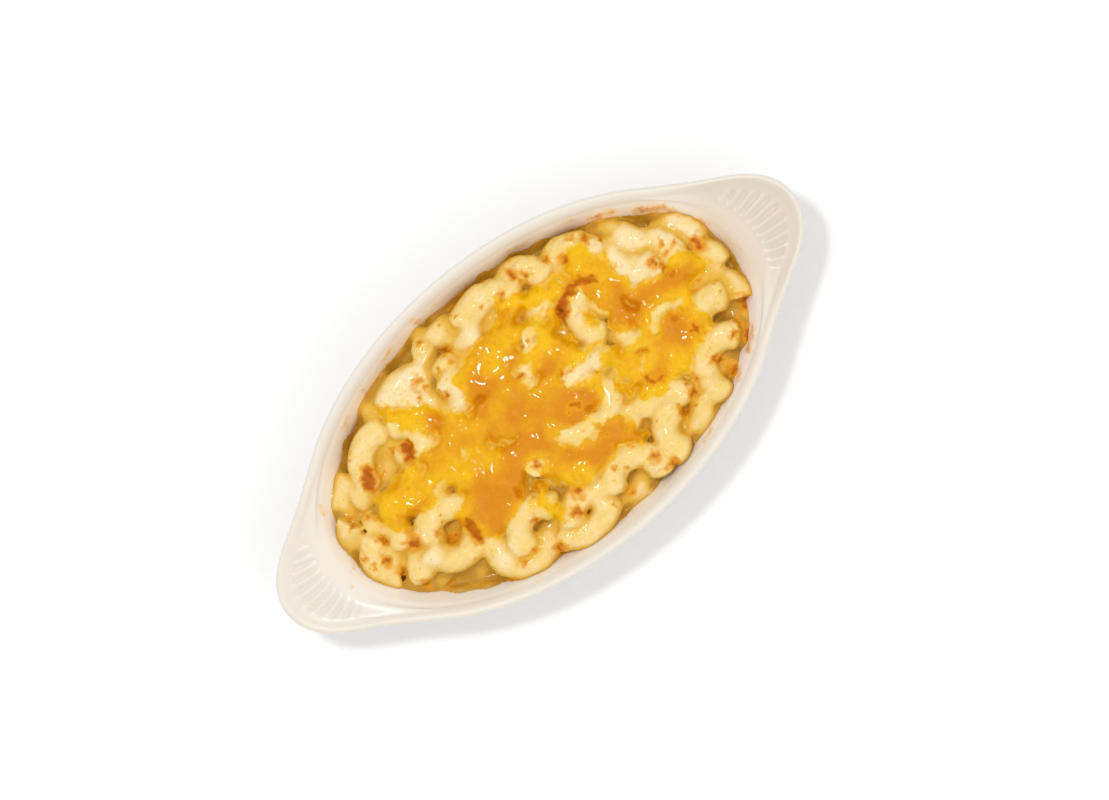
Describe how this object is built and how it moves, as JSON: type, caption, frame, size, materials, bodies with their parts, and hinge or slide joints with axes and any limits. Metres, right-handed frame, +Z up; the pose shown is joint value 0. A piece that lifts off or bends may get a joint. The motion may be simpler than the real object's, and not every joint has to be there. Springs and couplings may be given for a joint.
{
  "type": "macaroni and cheese in an oval baking dish",
  "caption": "Mound of cheese-coated elbow macaroni under melted cheddar, baked in an oval glazed dish with a fluted ear at each end.",
  "frame": {"origin": "on the table, under the middle of the dish's foot", "axes": "+X along the dish from ear to ear, +Y across it, +Z up out of the food"},
  "size_m": [0.2224, 0.1088, 0.0377],
  "materials": {
    "dish": "off-white glaze, glossy",
    "cheese_sauce": "moist cheese sauce, golden where it has baked against the wall",
    "macaroni": "soft pale yellow pasta under a thin moist coat of sauce",
    "melted_cheddar": "melted orange-yellow cheddar with an oily shine"
  },
  "bodies": {
    "root": {"dish": "dish", "cheese_sauce": "cheese_sauce", "macaroni": "macaroni", "melted_cheddar": "melted_cheddar"}
  },
  "joints": []
}
